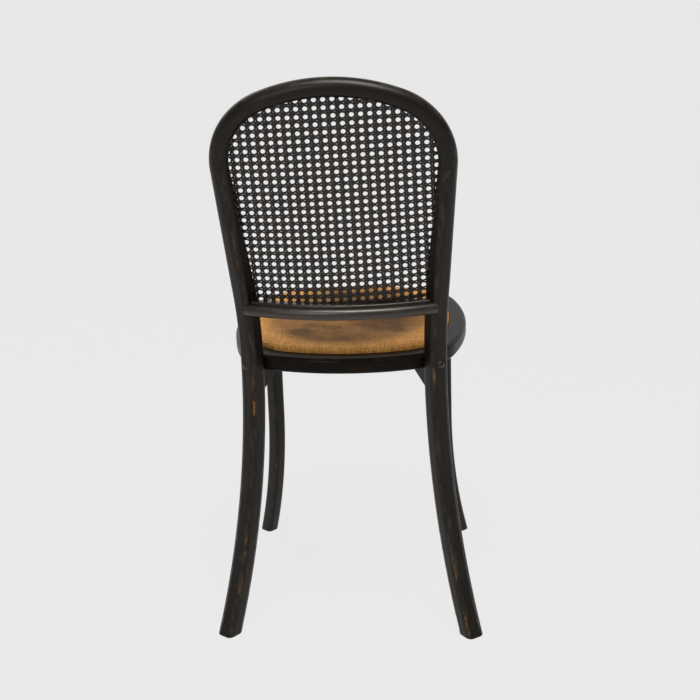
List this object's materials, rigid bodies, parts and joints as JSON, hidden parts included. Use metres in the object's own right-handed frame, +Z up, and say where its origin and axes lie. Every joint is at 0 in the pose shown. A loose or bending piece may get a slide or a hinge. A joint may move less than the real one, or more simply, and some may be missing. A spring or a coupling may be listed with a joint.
{
  "type": "dining chair",
  "caption": "Bentwood dining chair with a caned hoop back, a woven drop-in seat in a bent ring, and splayed legs.",
  "frame": {"origin": "bottom centre of the whole chair, on the floor", "axes": "+Z up, the chair faces -Y, +X to the left of someone sitting in it"},
  "size_m": [0.423, 0.5096, 0.892],
  "materials": {
    "black_wood": "ebonised, worn satin lacquer",
    "plain_wood": "bare wood, hidden inside",
    "dark_cane": "stained cane, woven",
    "gold_rattan": "varnished golden rattan, closely woven",
    "steel": "plain zinc-plated steel",
    "cap_black": "glossy black domed cap"
  },
  "bodies": {
    "root": {"rear_leg_left": "black_wood", "rear_leg_right": "black_wood", "top_arch": "black_wood", "shoulder_dowels": "plain_wood", "back_rail": "black_wood", "back_rail_dowels": "plain_wood", "back_cane_panel": "dark_cane", "back_cane_bead": "black_wood", "seat_ring": "black_wood", "seat_board": "plain_wood", "woven_seat": "gold_rattan", "seat_board_screws": "steel", "front_leg_left": "black_wood", "front_leg_right": "black_wood", "leg_bolts": "steel", "bolt_washers": "steel", "bolt_nuts": "steel", "bolt_caps": "cap_black", "rear_bracket_left": "black_wood", "rear_bracket_right": "black_wood", "bracket_screws": "steel"}
  },
  "joints": []
}
